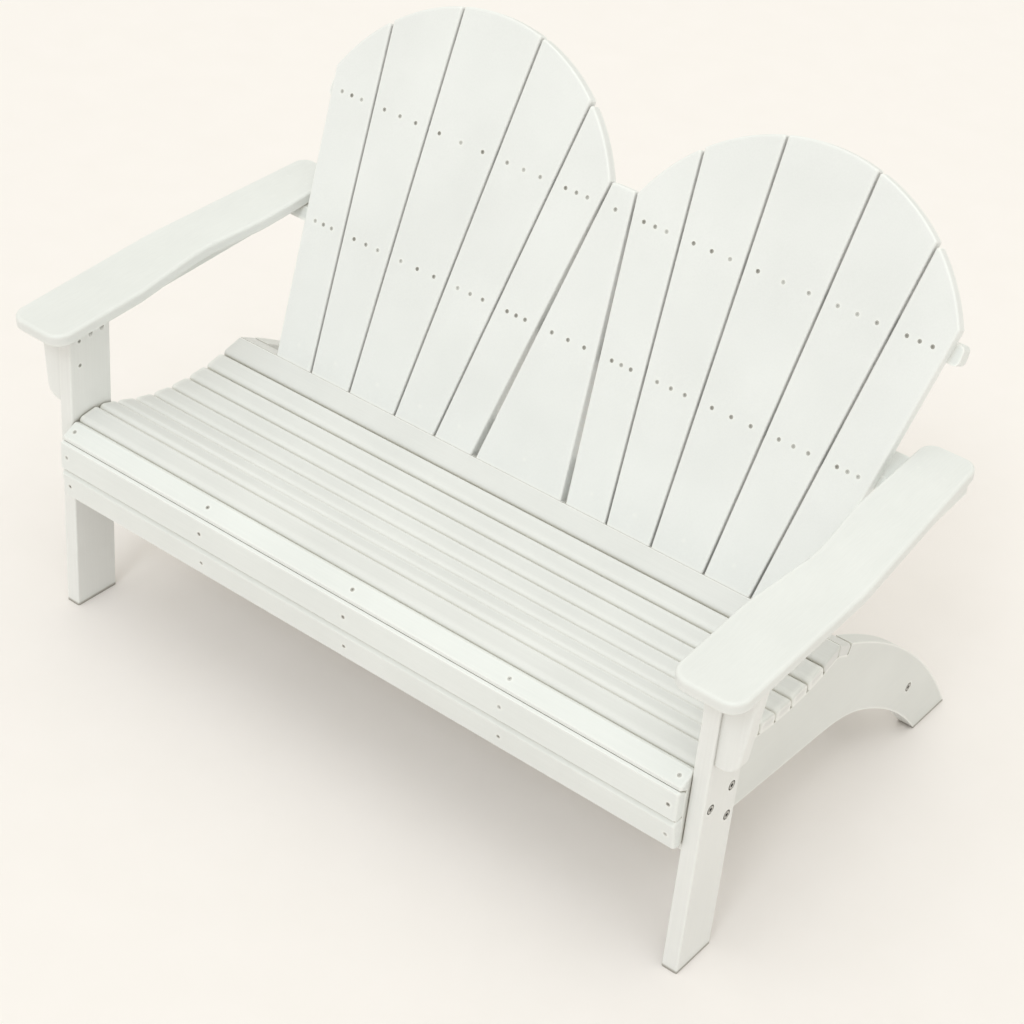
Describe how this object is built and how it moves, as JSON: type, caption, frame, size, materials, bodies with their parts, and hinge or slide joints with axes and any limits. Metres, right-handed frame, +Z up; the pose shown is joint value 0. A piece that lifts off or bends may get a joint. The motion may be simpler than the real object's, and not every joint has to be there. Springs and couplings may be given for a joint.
{
  "type": "double beach chair",
  "caption": "Double lounge chair of white plastic boards with a scooped slatted seat, fan-shaped backs, flat arms and curved rear legs.",
  "frame": {"origin": "on the floor, at the middle of the chair's footprint in plan", "axes": "+X towards the right as seen by someone facing the front, -Y towards the front, +Z up"},
  "size_m": [1.4316, 0.9062, 1.0069],
  "materials": {
    "boards": "satin white plastic lumber",
    "fasteners": "satin stainless steel"
  },
  "bodies": {
    "root": {"arm_leg_screws": "fasteners", "arm_rail_screws": "fasteners", "back_centre_wedge": "boards", "back_slat_left_1": "boards", "back_slat_left_2": "boards", "back_slat_left_3": "boards", "back_slat_left_4": "boards", "back_slat_left_5": "boards", "back_slat_right_1": "boards", "back_slat_right_2": "boards", "back_slat_right_3": "boards", "back_slat_right_4": "boards", "back_slat_right_5": "boards", "bracket_screws": "fasteners", "foot_bolts": "fasteners", "front_board_lower": "boards", "front_board_middle": "boards", "front_board_nose": "boards", "front_board_screws": "fasteners", "left_arm": "boards", "left_arm_bracket": "boards", "left_arm_support": "boards", "left_front_leg": "boards", "left_side_rail": "boards", "leg_bolt_nuts": "fasteners", "leg_bolt_washers": "fasteners", "leg_bolts": "fasteners", "lower_back_rail": "boards", "lower_back_screws": "fasteners", "middle_back_rail": "boards", "middle_back_screws": "fasteners", "rear_stretcher": "boards", "right_arm": "boards", "right_arm_bracket": "boards", "right_arm_support": "boards", "right_front_leg": "boards", "right_side_rail": "boards", "seat_rib_centre": "boards", "seat_rib_left": "boards", "seat_rib_right": "boards", "seat_slat_01": "boards", "seat_slat_02": "boards", "seat_slat_03": "boards", "seat_slat_04": "boards", "seat_slat_05": "boards", "seat_slat_06": "boards", "seat_slat_07": "boards", "seat_slat_08": "boards", "seat_slat_09": "boards", "seat_slat_10": "boards", "upper_back_rail": "boards", "upper_back_screws": "fasteners"}
  },
  "joints": []
}
